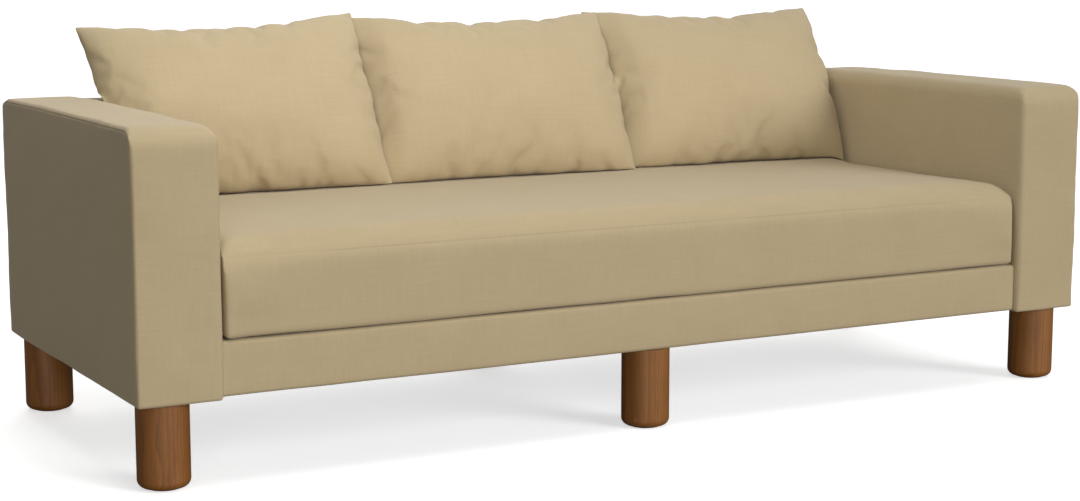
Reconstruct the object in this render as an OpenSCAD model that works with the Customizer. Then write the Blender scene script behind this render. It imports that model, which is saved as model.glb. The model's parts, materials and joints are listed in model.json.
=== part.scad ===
// Three-seat sofa with straight arms, a loose bench cushion, three loose back pillows
// and six round wooden legs. Millimetres, +Z up, +Y towards the back, +X to the
// sitter's left. The origin is on the floor, under the middle of the sofa.

/* [Overall] */
// Width over the arms
sofa_width = 2130; // [1700:10:2400]
// Depth from the front of the arms to the rear
sofa_depth = 840; // [800:10:940]
// Height of the arms and of the back
arm_top = 645; // [600:5:700]
// Thickness of each arm
arm_thickness = 160; // [120:5:200]
// Thickness of the back
back_thickness = 130; // [110:5:140]

/* [Legs] */
// Diameter of a leg
leg_diameter = 96; // [60:1:110]
// Height of the arms' underside above the floor
leg_height = 158; // [100:1:180]
// Distance of the leg centres from the front and from the rear of the arms
leg_inset = 60; // [56:1:80]
// Radius of the rounding at a leg's foot
leg_foot_radius = 11; // [4:1:14]

/* [Seat] */
// Height of the deck that the bench cushion lies on
deck_top = 262; // [240:1:280]
// Distance of the seat rail behind the front of the arms
rail_recess = 12; // [8:1:20]
// Thickness of the bench cushion
cushion_thickness = 179; // [150:1:200]
// Radius of the rounding along the bench cushion's top front edge
cushion_front_radius = 62; // [30:1:75]

/* [Back pillows] */
// Width of the left pillow from side seam to side seam
left_pillow_width = 626; // [450:1:626]
// Width of the middle pillow
middle_pillow_width = 624; // [450:1:624]
// Width of the right pillow, whose left end is tucked behind the middle one
right_pillow_width = 546; // [450:1:546]
// Height of one pillow, measured along its slope
pillow_height = 364; // [320:1:420]
// Depth of the pillow's front bulge
pillow_bulge = 112; // [80:1:130]
// Lean of the pillows from upright, in degrees
pillow_lean = 14.5; // [12:0.5:15]

/* [Upholstery] */
// Thickness of the cover fabric with its lining
cover_thickness = 2; // [1.5:0.5:2.5]
// Thickness of the padding over the arms and the back
padding_thickness = 15; // [12:1:15]
// Width of one webbing strap
strap_width = 70; // [50:1:80]

/* [Frame] */
// Thickness of the frame boards
board_thickness = 22; // [18:1:24]
// Thickness of the seat rails
rail_thickness = 25; // [20:1:26]

/* [Hidden] */
$fn = 48;

fabric_colour = [0.69, 0.63, 0.49];
wood_colour = [0.50, 0.31, 0.17];
timber_colour = [0.80, 0.68, 0.48];
foam_colour = [0.93, 0.91, 0.84];
steel_colour = [0.72, 0.72, 0.74];
webbing_colour = [0.25, 0.25, 0.27];

// Planes that the pieces are placed from
arm_outer = sofa_width / 2;
arm_inner = arm_outer - arm_thickness;
front = -sofa_depth / 2;
rear = sofa_depth / 2;
back_front = rear - back_thickness;
rail_front = front + rail_recess;
rail_bottom = leg_height + 3;
wrap = cover_thickness + padding_thickness;
timber_bottom = rail_bottom + cover_thickness;
timber_top = deck_top - 7;
timber_height = timber_top - timber_bottom;
panel_thickness = 3;
strap_thickness = 2;
body_gap = 1;
overshoot = 10;

// The bench cushion
cushion_bottom = deck_top + body_gap;
cushion_top = cushion_bottom + cushion_thickness;
cushion_half_width = arm_inner - 2;
cushion_front = front + 6;
cushion_rear = back_front - 8;
zip_length = 1400;
zip_height = cushion_bottom + cushion_thickness / 2;

// Legs and their hardware
glide_height = 4;
glide_proud = 2;
glide_radius = 30;
bolt_radius = 4;
bolt_clearance = 0.2;
bolt_grip = 45;
nut_flange_radius = 11;
nut_flange_thickness = 2;

// Where the legs stand: [x, y, height of what they carry]
leg_x = arm_outer - arm_thickness * 0.4;
leg_y = rear - leg_inset;
leg_places = [
    [-leg_x, -leg_y, leg_height], [0, -leg_y, rail_bottom], [leg_x, -leg_y, leg_height],
    [-leg_x, leg_y, leg_height], [0, leg_y, rail_bottom], [leg_x, leg_y, leg_height]
];

// Frame bolts through the end rails and the back's end posts into the arms: [y, z]
frame_bolt_places = [
    [front + 90, rail_bottom + 50], [back_front - 90, rail_bottom + 50],
    [rear - back_thickness / 2, arm_top - 130], [rear - back_thickness / 2, arm_top - 330]
];

// Pillow seam planes start here, at the foot of the slope
pillow_rim = 6;
pillow_foot = [0, back_front - 57, cushion_top + body_gap + pillow_rim * sin(pillow_lean)];
pillow_end_gap = 4;
pillow_widths = [left_pillow_width, middle_pillow_width, right_pillow_width];
pillow_centres = [
    left_pillow_width / 2 + pillow_end_gap - arm_inner,
    (left_pillow_width - right_pillow_width) / 2,
    arm_inner - pillow_end_gap - right_pillow_width / 2
];

// ---------- shared shapes ----------

// What a rounded corner takes off a rectangle; inward points into the rectangle
module corner_cut(corner, inward, radius) {
    centre = corner + radius * inward;
    outside = corner - inward;
    low = [min(outside.x, centre.x), min(outside.y, centre.y)];
    if (radius > 0) difference() {
        translate(low) square(radius + 1);
        translate(centre) circle(radius);
    }
}

// Rectangle from low to high; radii are for its [near, far] bottom and [near, far] top corners
module rounded_rectangle(low, high, bottom_radii, top_radii) {
    difference() {
        translate(low) square(high - low);
        corner_cut(low, [1, 1], bottom_radii[0]);
        corner_cut([high.x, low.y], [-1, 1], bottom_radii[1]);
        corner_cut([low.x, high.y], [1, -1], top_radii[0]);
        corner_cut(high, [-1, -1], top_radii[1]);
    }
}

// Extrudes a shape drawn in X and Z along Y, between two planes
module along_y(from, to) {
    translate([0, to, 0]) rotate([90, 0, 0]) linear_extrude(to - from) children();
}

// Extrudes a shape drawn in Y and Z along X, between two planes
module along_x(from, to) {
    translate([from, 0, 0]) rotate([90, 0, 90]) linear_extrude(to - from) children();
}

// A plain board from one corner to the other
module board(low, high) {
    translate(low) cube(high - low);
}

// ---------- legs ----------

module leg(place) {
    radius = leg_diameter / 2;
    color(wood_colour) translate([place.x, place.y, 0]) difference() {
        rotate_extrude($fn = 64) {
            translate([0, glide_proud]) square([radius - leg_foot_radius, leg_foot_radius + 1]);
            translate([radius - leg_foot_radius, glide_proud + leg_foot_radius])
                intersection() {
                    circle(leg_foot_radius);
                    translate([0, -leg_foot_radius]) square(leg_foot_radius);
                }
            translate([0, glide_proud + leg_foot_radius])
                square([radius, place.z - glide_proud - leg_foot_radius]);
        }
        translate([0, 0, -1]) cylinder(r = glide_radius + bolt_clearance, h = glide_height + 1);
        translate([0, 0, place.z - bolt_grip])
            cylinder(r = bolt_radius + bolt_clearance, h = bolt_grip + 1);
    }
}

module leg_glides() {
    color(webbing_colour) for (place = leg_places)
        translate([place.x, place.y, 0]) cylinder(r = glide_radius, h = glide_height);
}

// Height of the board's underside that a leg's bolt runs into
function board_bottom(place) = place.z + cover_thickness;

module hanger_bolts() {
    color(steel_colour) for (place = leg_places)
        translate([place.x, place.y, place.z - bolt_grip + 2])
            cylinder(r = bolt_radius, h = bolt_grip + cover_thickness + board_thickness);
}

module bolt_holes(radius) {
    for (place = leg_places)
        translate([place.x, place.y, leg_height - overshoot])
            cylinder(r = radius, h = board_thickness + 3 * overshoot);
}

// Flanged nuts that lie on the boards, over the bolt holes
module tee_nuts() {
    color(steel_colour) for (place = leg_places)
        translate([place.x, place.y, board_bottom(place) + board_thickness]) difference() {
            cylinder(r = nut_flange_radius, h = nut_flange_thickness);
            translate([0, 0, -1])
                cylinder(r = bolt_radius + bolt_clearance, h = nut_flange_thickness + 2);
        }
}

// ---------- seat base ----------

base_half = arm_inner - cover_thickness;
rail_face = rail_front + 10;
rail_back_face = rail_face + rail_thickness;
base_rear = back_front - cover_thickness;
// Radius of the fabric's fold along the rail, and where its hem ends behind the rail's front
rail_fold = 8;
hem = rail_front + 30;

module seat_front_rail() {
    color(timber_colour) board([-base_half, rail_face, timber_bottom],
        [base_half, rail_back_face, timber_top]);
}

module seat_rear_rail() {
    color(timber_colour) board([-base_half, base_rear - rail_thickness, timber_bottom],
        [base_half, base_rear, timber_top]);
}

module seat_end_rail() {
    color(timber_colour) difference() {
        board([base_half - rail_thickness, rail_back_face, timber_bottom],
            [base_half, base_rear - rail_thickness, timber_top - strap_thickness]);
        frame_bolt_holes();
    }
}

leg_block_reach = 70;
leg_block_half_width = 90;

// Joist under the webbing, notched at the front over the middle leg's block and bolt
module seat_centre_rail() {
    notch = board_thickness + 12;
    color(timber_colour) difference() {
        board([-rail_thickness / 2, rail_back_face, timber_bottom],
            [rail_thickness / 2, base_rear - rail_thickness, timber_top - 30]);
        board([-rail_thickness, rail_back_face - 1, timber_bottom - 1],
            [rail_thickness, rail_back_face + leg_block_reach, timber_bottom + notch]);
    }
}

// Triangular blocks in the four corners of the base, and the front middle leg's block
module corner_blocks() {
    reach = 75;
    color(timber_colour) {
        for (side = [-1, 1], end = [-1, 1]) {
            corner_y = end < 0 ? rail_back_face : base_rear - rail_thickness;
            translate([side * (base_half - rail_thickness), corner_y, timber_bottom])
                linear_extrude(board_thickness)
                    polygon([[0, 0], [-side * reach, 0], [0, -end * reach]]);
        }
        difference() {
            board([-leg_block_half_width, rail_back_face, timber_bottom],
                [leg_block_half_width, rail_back_face + leg_block_reach,
                timber_bottom + board_thickness]);
            bolt_holes(bolt_radius + bolt_clearance);
        }
    }
}

module seat_webbing() {
    count = 14;
    end_gap = 60;
    pitch = 2 * (base_half - end_gap) / (count - 1);
    color(webbing_colour) for (i = [0 : count - 1])
        translate([-base_half + end_gap - strap_width / 2 + i * pitch, rail_face, timber_top])
            cube([strap_width, base_rear - rail_face, strap_thickness]);
}

module cross_webbing() {
    inside_depth = base_rear - rail_thickness - rail_back_face;
    color(webbing_colour) for (share = [0.25, 0.5, 0.75])
        translate([-base_half, rail_back_face + share * inside_depth - strap_width / 2,
            timber_top - strap_thickness])
            cube([2 * base_half, strap_width, strap_thickness]);
}

module deck_pad() {
    color(foam_colour) board([-base_half, rail_face, timber_top + strap_thickness],
        [base_half, base_rear, deck_top - cover_thickness]);
}

module deck_cover() {
    color(fabric_colour) board([-arm_inner, hem, deck_top - cover_thickness],
        [arm_inner, back_front, deck_top]);
}

module front_rail_padding() {
    fold = rail_fold - cover_thickness;
    color(foam_colour) along_x(-base_half, base_half)
        rounded_rectangle([rail_front + cover_thickness, timber_bottom],
            [rail_face, timber_top], [fold, 0], [fold, 0]);
}

// Fabric round the front of the seat base: up the front, over the top and under the rail
module front_rail_cover() {
    fold = rail_fold - cover_thickness;
    color(fabric_colour) along_x(-arm_inner, arm_inner) difference() {
        rounded_rectangle([rail_front, rail_bottom], [hem, deck_top],
            [rail_fold, 0], [rail_fold, 0]);
        rounded_rectangle([rail_front + cover_thickness, rail_bottom + cover_thickness],
            [hem + 1, deck_top - cover_thickness], [fold, 0], [fold, 0]);
    }
}

module dust_cover() {
    color(webbing_colour) difference() {
        board([-arm_inner, hem, rail_bottom],
            [arm_inner, back_front, rail_bottom + cover_thickness]);
        bolt_holes(bolt_radius + 1);
    }
}

// ---------- arms: drawn as the right arm, the left one is its mirror image ----------

// The arm's outer form, taken in by a margin on every side
module arm_form(margin) {
    low_x = arm_inner + margin;
    high_x = arm_outer - margin;
    low_z = leg_height + margin;
    high_z = arm_top - margin;
    intersection() {
        along_y(front + margin, rear - margin)
            rounded_rectangle([low_x, low_z], [high_x, high_z], [5, 7],
                [max(28 - margin, 4), max(15 - margin, 3)]);
        along_x(low_x - 1, high_x + 1)
            rounded_rectangle([front + margin, low_z], [rear - margin, high_z], [6, 6],
                [max(40 - margin, 8), max(42 - margin, 8)]);
        translate([0, 0, low_z - 1]) linear_extrude(high_z - low_z + 2)
            rounded_rectangle([low_x, front + margin], [high_x, rear - margin],
                [max(12 - margin, 3), max(15 - margin, 3)],
                [4, max(18 - margin, 3)]);
    }
}

// The space inside an arm's padding that the wooden frame fills
module arm_frame_space() {
    board([arm_inner + wrap, front + wrap, leg_height - overshoot],
        [arm_outer - wrap, rear - wrap, arm_top - wrap]);
}

module frame_bolt_holes() {
    for (place = frame_bolt_places)
        translate([arm_inner - 60, place[0], place[1]]) rotate([0, 90, 0])
            cylinder(r = bolt_radius + bolt_clearance, h = 130);
}

module arm_cover() {
    color(fabric_colour) difference() {
        arm_form(0);
        arm_form(cover_thickness);
        bolt_holes(bolt_radius + 1);
        frame_bolt_holes();
    }
}

module arm_padding() {
    color(foam_colour) difference() {
        arm_form(cover_thickness);
        arm_frame_space();
        bolt_holes(bolt_radius + 1);
        frame_bolt_holes();
    }
}

arm_frame_low = [arm_inner + wrap + panel_thickness, front + wrap, leg_height + cover_thickness];
arm_frame_high = [arm_outer - wrap - panel_thickness, rear - wrap, arm_top - wrap];

module arm_boards() {
    color(timber_colour) {
        difference() {
            board(arm_frame_low,
                [arm_frame_high.x, arm_frame_high.y, arm_frame_low.z + board_thickness]);
            bolt_holes(bolt_radius + bolt_clearance);
        }
        board([arm_frame_low.x, arm_frame_low.y, arm_frame_high.z - board_thickness],
            arm_frame_high);
    }
}

// Front post, rear post and the upright block that the back is bolted to
module arm_posts() {
    low_z = arm_frame_low.z + board_thickness;
    high_z = arm_frame_high.z - board_thickness;
    upright_y = rear - back_thickness / 2;
    color(timber_colour) {
        board([arm_frame_low.x, arm_frame_low.y, low_z],
            [arm_frame_high.x, arm_frame_low.y + board_thickness, high_z]);
        board([arm_frame_low.x, arm_frame_high.y - board_thickness, low_z],
            [arm_frame_high.x, arm_frame_high.y, high_z]);
        difference() {
            board([arm_frame_low.x, upright_y - 25, low_z + 95],
                [arm_frame_low.x + board_thickness, upright_y + 25, high_z]);
            frame_bolt_holes();
        }
    }
}

module arm_rail() {
    low_z = arm_frame_low.z + board_thickness;
    color(timber_colour) difference() {
        board([arm_frame_low.x, arm_frame_low.y + board_thickness, low_z],
            [arm_frame_low.x + board_thickness, arm_frame_high.y - board_thickness, low_z + 95]);
        frame_bolt_holes();
    }
}

module arm_panels() {
    color(timber_colour) {
        difference() {
            board([arm_frame_low.x - panel_thickness, arm_frame_low.y, arm_frame_low.z],
                [arm_frame_low.x, arm_frame_high.y, arm_frame_high.z]);
            frame_bolt_holes();
        }
        board([arm_frame_high.x, arm_frame_low.y, arm_frame_low.z],
            [arm_frame_high.x + panel_thickness, arm_frame_high.y, arm_frame_high.z]);
    }
}

bolt_head_x = base_half - rail_thickness;
nut_face_x = arm_frame_low.x + board_thickness;

module frame_bolts() {
    color(steel_colour) for (side = [0, 1]) mirror([side, 0, 0])
        for (place = frame_bolt_places) translate([bolt_head_x, place[0], place[1]])
            rotate([0, 90, 0]) {
                translate([0, 0, -5]) cylinder(r = 8, h = 5);
                cylinder(r = bolt_radius, h = nut_face_x - bolt_head_x + 12);
            }
}

module frame_nuts() {
    color(steel_colour) for (side = [0, 1]) mirror([side, 0, 0])
        for (place = frame_bolt_places) translate([nut_face_x, place[0], place[1]])
            rotate([0, 90, 0]) difference() {
                cylinder(r = 8, h = 7);
                translate([0, 0, -1]) cylinder(r = bolt_radius + bolt_clearance, h = 9);
            }
}

// ---------- back ----------

// The back's outer form, taken in by a margin on every side
module back_form(margin) {
    along_x(-arm_inner + margin, arm_inner - margin)
        rounded_rectangle([back_front + margin, rail_bottom + margin],
            [rear - margin, arm_top - margin], [4, 6],
            [max(26 - margin, 6), max(34 - margin, 6)]);
}

back_frame_low = [-arm_inner + cover_thickness, back_front + wrap, rail_bottom + cover_thickness];
back_frame_high = [arm_inner - cover_thickness, rear - wrap, arm_top - wrap];

module back_cover() {
    color(fabric_colour) difference() {
        back_form(0);
        back_form(cover_thickness);
        bolt_holes(bolt_radius + 1);
        mirrored_bolt_holes();
    }
}

module mirrored_bolt_holes() {
    for (side = [0, 1]) mirror([side, 0, 0]) frame_bolt_holes();
}

module back_padding() {
    color(foam_colour) difference() {
        back_form(cover_thickness);
        board(back_frame_low - [1, 0, 1], back_frame_high + [1, 0, 0]);
        bolt_holes(bolt_radius + 1);
    }
}

module back_bottom_rail() {
    color(timber_colour) difference() {
        board(back_frame_low,
            [back_frame_high.x, back_frame_high.y, back_frame_low.z + board_thickness]);
        bolt_holes(bolt_radius + bolt_clearance);
    }
}

module back_top_rail() {
    color(timber_colour) board(
        [back_frame_low.x, back_frame_low.y, back_frame_high.z - board_thickness],
        back_frame_high);
}

module back_posts() {
    low_z = back_frame_low.z + board_thickness;
    high_z = back_frame_high.z - board_thickness;
    span = back_frame_high.x - back_frame_low.x - rail_thickness;
    color(timber_colour) difference() {
        for (share = [0, 1 / 3, 2 / 3, 1]) {
            low_x = back_frame_low.x + share * span;
            board([low_x, back_frame_low.y + 3, low_z],
                [low_x + rail_thickness, back_frame_high.y - 3, high_z]);
        }
        mirrored_bolt_holes();
    }
}

module back_webbing() {
    color(webbing_colour) for (level = [0.2, 0.4, 0.6, 0.8])
        translate([back_frame_low.x, back_frame_low.y, back_frame_low.z
            + level * (back_frame_high.z - back_frame_low.z) - strap_width / 2])
            cube([back_frame_high.x - back_frame_low.x, strap_thickness, strap_width]);
}

module back_panel() {
    low_z = back_frame_low.z + board_thickness;
    high_z = back_frame_high.z - board_thickness;
    color(timber_colour) board([back_frame_low.x, back_frame_high.y - 3, low_z],
        [back_frame_high.x, back_frame_high.y, high_z]);
}

// ---------- bench cushion ----------

// The bench cushion's form, taken in by a margin on every side
module bench_form(margin) {
    low_y = cushion_front + margin;
    high_y = cushion_rear - margin;
    low_z = cushion_bottom + margin;
    high_z = cushion_top - margin;
    half = cushion_half_width - margin;
    intersection() {
        along_x(-half, half)
            rounded_rectangle([low_y, low_z], [high_y, high_z], [14 - margin, 14 - margin],
                [cushion_front_radius - margin, 30 - margin]);
        along_y(low_y - 1, high_y + 1)
            rounded_rectangle([-half, low_z], [half, high_z], [14 - margin, 14 - margin],
                [22 - margin, 22 - margin]);
        translate([0, 0, low_z - 1]) linear_extrude(high_z - low_z + 2)
            rounded_rectangle([-half, low_y], [half, high_y],
                [20 - margin, 20 - margin], [20 - margin, 20 - margin]);
    }
}

module bench_core() {
    color(foam_colour) bench_form(cover_thickness);
}

module bench_cover() {
    color(fabric_colour) difference() {
        bench_form(0);
        bench_form(cover_thickness);
    }
}

module bench_zip_tape() {
    color(webbing_colour) board([-zip_length / 2, cushion_rear, zip_height - 9],
        [zip_length / 2, cushion_rear + 1, zip_height + 9]);
}

module bench_zip_slider() {
    place = [zip_length / 2 - 12, cushion_rear + 1.2, zip_height];
    color(steel_colour) translate(place) {
        board([-6, 0, -4], [6, 3, 4]);
        board([-2, 3, -3], [2, 4, 3]);
        board([-28, 1, -2.5], [-7.5, 2.5, 2.5]);
        board([-8, 1, -1.5], [-5, 2.5, 1.5]);
    }
}

// ---------- back pillows ----------

// A flat strip with a round bulge on it: length along X, depth along Y
module bulged_strip(length, depth, edge) {
    radius = (length * length / 4 + depth * depth) / (2 * depth);
    translate([-length / 2, -edge]) square([length, edge + 0.5]);
    intersection() {
        translate([0, depth - radius]) circle(radius, $fn = 180);
        translate([-length / 2, 0]) square([length, depth + 1]);
    }
}

// A pillow on its seam plane, standing on its lower edge, its bulge towards -Y
module pillow_form(index, margin) {
    rim = pillow_rim - margin;
    height = pillow_height - 2 * margin;
    width = pillow_widths[index] - 2 * margin;
    translate([0, 0, pillow_height / 2]) intersection() {
        along_x(-width / 2, width / 2) rotate(90) bulged_strip(height, pillow_bulge - margin, rim);
        translate([0, 0, -height / 2]) linear_extrude(height)
            mirror([0, 1]) bulged_strip(width, 1.3 * pillow_bulge - margin, rim);
    }
}

module placed_pillow(index) {
    translate(pillow_foot + [pillow_centres[index], 0, 0]) rotate([-pillow_lean, 0, 0])
        children();
}

module pillow_filling(index) {
    color(foam_colour) placed_pillow(index) pillow_form(index, cover_thickness);
}

module pillow_cover(index) {
    color(fabric_colour) placed_pillow(index) difference() {
        pillow_form(index, 0);
        pillow_form(index, cover_thickness);
    }
}

// ---------- nodes ----------

leg(leg_places[0]);  // leg_front_left
leg(leg_places[1]);  // leg_front_middle
leg(leg_places[2]);  // leg_front_right
leg(leg_places[3]);  // leg_rear_left
leg(leg_places[4]);  // leg_rear_middle
leg(leg_places[5]);  // leg_rear_right
leg_glides();
hanger_bolts();
tee_nuts();
seat_front_rail();
seat_rear_rail();
mirror([1, 0, 0]) seat_end_rail();  // seat_end_rail_left
seat_end_rail();  // seat_end_rail_right
seat_centre_rail();
corner_blocks();
seat_webbing();
cross_webbing();
deck_pad();
deck_cover();
front_rail_padding();
front_rail_cover();
dust_cover();
mirror([1, 0, 0]) arm_boards();  // arm_left_boards
mirror([1, 0, 0]) arm_posts();  // arm_left_posts
mirror([1, 0, 0]) arm_rail();  // arm_left_rail
mirror([1, 0, 0]) arm_panels();  // arm_left_panels
mirror([1, 0, 0]) arm_padding();  // arm_left_padding
mirror([1, 0, 0]) arm_cover();  // arm_left_cover
arm_boards();  // arm_right_boards
arm_posts();  // arm_right_posts
arm_rail();  // arm_right_rail
arm_panels();  // arm_right_panels
arm_padding();  // arm_right_padding
arm_cover();  // arm_right_cover
frame_bolts();
frame_nuts();
back_top_rail();
back_bottom_rail();
back_posts();
back_webbing();
back_panel();
back_padding();
back_cover();
bench_core();
bench_cover();
bench_zip_tape();
bench_zip_slider();
pillow_filling(0);  // pillow_left_filling
pillow_cover(0);  // pillow_left_cover
pillow_filling(1);  // pillow_middle_filling
pillow_cover(1);  // pillow_middle_cover
pillow_filling(2);  // pillow_right_filling
pillow_cover(2);  // pillow_right_cover
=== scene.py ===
# %% [markdown]
# # A long sofa on round wooden legs
#
# This notebook dresses a finished CAD model of a sofa. The CAD model holds the frame, the
# hardware and the places where pieces move. Here each piece that the eye meets gets its
# real shape and finish: sewn covers, stuffed pillows and turned legs. All lengths are in
# metres, and every piece is made where the CAD model says that it goes.

# %% Load the frame
import json
import math

import bmesh
import bpy
from mathutils import Euler, Matrix, Vector, noise
from mathutils.bvhtree import BVHTree
from mathutils.kdtree import KDTree


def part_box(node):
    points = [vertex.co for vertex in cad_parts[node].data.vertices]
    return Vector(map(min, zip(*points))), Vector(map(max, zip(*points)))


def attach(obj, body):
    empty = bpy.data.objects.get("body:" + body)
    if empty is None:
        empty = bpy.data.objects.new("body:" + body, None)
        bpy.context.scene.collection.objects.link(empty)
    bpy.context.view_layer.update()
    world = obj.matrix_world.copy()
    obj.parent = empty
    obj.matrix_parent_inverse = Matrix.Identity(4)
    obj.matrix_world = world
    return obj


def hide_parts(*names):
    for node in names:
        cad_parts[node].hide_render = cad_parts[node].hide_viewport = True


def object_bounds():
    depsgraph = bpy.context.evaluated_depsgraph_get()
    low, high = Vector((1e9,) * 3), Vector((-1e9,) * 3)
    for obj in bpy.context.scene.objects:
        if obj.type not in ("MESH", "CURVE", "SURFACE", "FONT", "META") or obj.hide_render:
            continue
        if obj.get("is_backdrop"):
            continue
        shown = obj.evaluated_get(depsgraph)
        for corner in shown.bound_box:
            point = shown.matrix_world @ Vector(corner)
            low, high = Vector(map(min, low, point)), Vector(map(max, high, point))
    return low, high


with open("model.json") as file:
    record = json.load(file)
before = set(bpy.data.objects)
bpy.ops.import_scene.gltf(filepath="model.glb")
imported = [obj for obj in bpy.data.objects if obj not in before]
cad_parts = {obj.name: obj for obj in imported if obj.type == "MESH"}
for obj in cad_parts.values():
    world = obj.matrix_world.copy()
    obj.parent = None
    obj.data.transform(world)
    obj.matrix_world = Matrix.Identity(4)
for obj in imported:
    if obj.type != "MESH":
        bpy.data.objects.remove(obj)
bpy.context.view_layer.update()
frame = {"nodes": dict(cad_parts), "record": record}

# %% [markdown]
# ## Camera
#
# The camera comes first, because it decides how large each detail has to be. It stands
# off the sofa's left front, at about the height of a seated person's eyes, and looks down
# a little. A long lens keeps the far arm nearly as tall as the near one. Vertical lines
# could be kept upright with a large lens shift, but the shift would spoil every other
# view, so the camera is tilted instead.

# %% Camera
SENSOR_WIDTH = 36.0
CAMERA_PLACE = Vector((-2.186, -3.908, 0.979))
CAMERA_YAW = math.radians(28.75)
CAMERA_TILT = math.radians(8.56)
CAMERA_LENS = 71.0

camera_data = bpy.data.cameras.new("camera")
camera_data.sensor_width = SENSOR_WIDTH
camera_data.lens = CAMERA_LENS
camera = bpy.data.objects.new("camera", camera_data)
camera.location = CAMERA_PLACE
camera.rotation_euler = Euler((math.pi / 2 - CAMERA_TILT, 0, -CAMERA_YAW), "XYZ")
bpy.context.collection.objects.link(camera)
bpy.context.scene.camera = camera
bpy.context.scene.view_settings.view_transform = "Standard"
print("camera", [round(value, 3) for value in camera.location])

# %% [markdown]
# ## Small helpers
#
# Each finished piece needs the same few steps: a mesh object, smooth shading, a material,
# the body that it moves with and the CAD nodes that it stands for. One function does them
# all, so no piece misses a step.

# %% Helpers that finish a piece
PIECES = {}


def finish_piece(name, bm, material, body, replaced=()):
    """Turns a bmesh into a smooth-shaded object that rides on a body."""
    mesh = bpy.data.meshes.new(name)
    bm.to_mesh(mesh)
    bm.free()
    mesh.polygons.foreach_set("use_smooth", [True] * len(mesh.polygons))
    mesh.materials.append(material)
    piece = bpy.data.objects.new(name, mesh)
    bpy.context.collection.objects.link(piece)
    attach(piece, body)
    if replaced:
        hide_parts(*replaced)
    PIECES[name] = piece
    print(f"{name}: {len(mesh.polygons)} faces")
    return piece


def subdivide(piece):
    """Adds one level of subdivision, the same in the viewport and the render."""
    modifier = piece.modifiers.new("smooth", "SUBSURF")
    modifier.levels = modifier.render_levels = 1


def ease(value):
    """Smooth step from 0 to 1."""
    value = min(max(value, 0.0), 1.0)
    return value * value * (3 - 2 * value)


# %% [markdown]
# ## Node groups for the finishes
#
# A woven cover isn't one flat colour. Threads cross over and under, some are thicker than
# others, and the dye varies a little along the cloth. Every cover here is cut from the
# same cloth, so the weave is a node group that is built once. It reads a UV map in metres
# that each piece carries, so the threads follow the cloth where it bulges and folds.

# %% Tools for building node groups
def new_group(name, inputs, outputs):
    """An empty shader node group with float or vector inputs and outputs."""
    group = bpy.data.node_groups.new(name, "ShaderNodeTree")
    for label, kind, default in inputs:
        socket = group.interface.new_socket(label, in_out="INPUT", socket_type=kind)
        if default is not None:
            socket.default_value = default
    for label, kind in outputs:
        group.interface.new_socket(label, in_out="OUTPUT", socket_type=kind)
    return group, group.nodes.new("NodeGroupInput"), group.nodes.new("NodeGroupOutput")


class Wiring:
    """Short calls for adding nodes to one tree and joining them."""

    def __init__(self, tree):
        self.tree = tree

    def node(self, kind, **settings):
        node = self.tree.nodes.new(kind)
        for key, value in settings.items():
            setattr(node, key, value)
        return node

    def join(self, source, target):
        self.tree.links.new(source, target)

    def math(self, operation, first, second=None, third=None):
        node = self.node("ShaderNodeMath", operation=operation)
        for index, value in enumerate((first, second, third)):
            self.feed(node.inputs[index], value)
        return node.outputs[0]

    def feed(self, socket, value):
        if isinstance(value, bpy.types.NodeSocket):
            self.tree.links.new(value, socket)
        elif value is not None:
            socket.default_value = value

    def scaled(self, vector, scale):
        node = self.node("ShaderNodeVectorMath", operation="MULTIPLY")
        self.feed(node.inputs[0], vector)
        self.feed(node.inputs[1], scale)
        return node.outputs[0]

    def noise(self, vector, scale, detail=2.0, roughness=0.5):
        node = self.node("ShaderNodeTexNoise")
        self.feed(node.inputs["Vector"], vector)
        node.inputs["Scale"].default_value = scale
        node.inputs["Detail"].default_value = detail
        node.inputs["Roughness"].default_value = roughness
        return node.outputs["Fac"]

    def mix(self, factor, first, second):
        node = self.node("ShaderNodeMix", data_type="RGBA")
        self.feed(node.inputs["Factor"], factor)
        self.feed(node.inputs["A"], first)
        self.feed(node.inputs["B"], second)
        return node.outputs["Result"]

    def span(self, value, low, high, to_low=0.0, to_high=1.0):
        node = self.node("ShaderNodeMapRange")
        for label, given in zip(
            ("Value", "From Min", "From Max", "To Min", "To Max"),
            (value, low, high, to_low, to_high),
        ):
            self.feed(node.inputs[label], given)
        return node.outputs["Result"]


# %% Plain weave with slubs
THREADS_PER_METRE = 620.0


def build_weave_group():
    """Threads over and under each other, with thick places (slubs) along them."""
    group, given, made = new_group(
        "plain_weave",
        [
            ("Cloth", "NodeSocketVector", None),
            ("Threads per metre", "NodeSocketFloat", THREADS_PER_METRE),
            ("Slub", "NodeSocketFloat", 0.5),
        ],
        [("Height", "NodeSocketFloat"), ("Shade", "NodeSocketFloat")],
    )
    w = Wiring(group)
    cloth = given.outputs["Cloth"]
    split = w.node("ShaderNodeSeparateXYZ")
    w.join(cloth, split.inputs[0])
    angle = w.math("MULTIPLY", given.outputs["Threads per metre"], math.pi)
    across = w.math("SINE", w.math("MULTIPLY", split.outputs[0], angle))
    along = w.math("SINE", w.math("MULTIPLY", split.outputs[1], angle))
    weave = w.math("MULTIPLY", across, along)
    weft = w.noise(w.scaled(cloth, (9.0, 420.0, 1.0)), 1.0, 3.0, 0.6)
    warp = w.noise(w.scaled(cloth, (420.0, 14.0, 1.0)), 1.0, 3.0, 0.6)
    slubs = w.math("ADD", weft, warp)
    slub_height = w.math("MULTIPLY", w.math("SUBTRACT", slubs, 1.0), given.outputs["Slub"])
    height = w.math("ADD", w.math("MULTIPLY", weave, 0.35), slub_height)
    w.join(height, made.inputs["Height"])
    cloudy = w.noise(cloth, 9.0, 3.0, 0.55)
    shade = w.math("ADD", w.math("MULTIPLY", slubs, 0.5), w.math("MULTIPLY", cloudy, 0.35))
    w.join(w.span(shade, 0.45, 0.9), made.inputs["Shade"])
    return group


weave_group = build_weave_group()
print("node group", weave_group.name)

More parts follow.
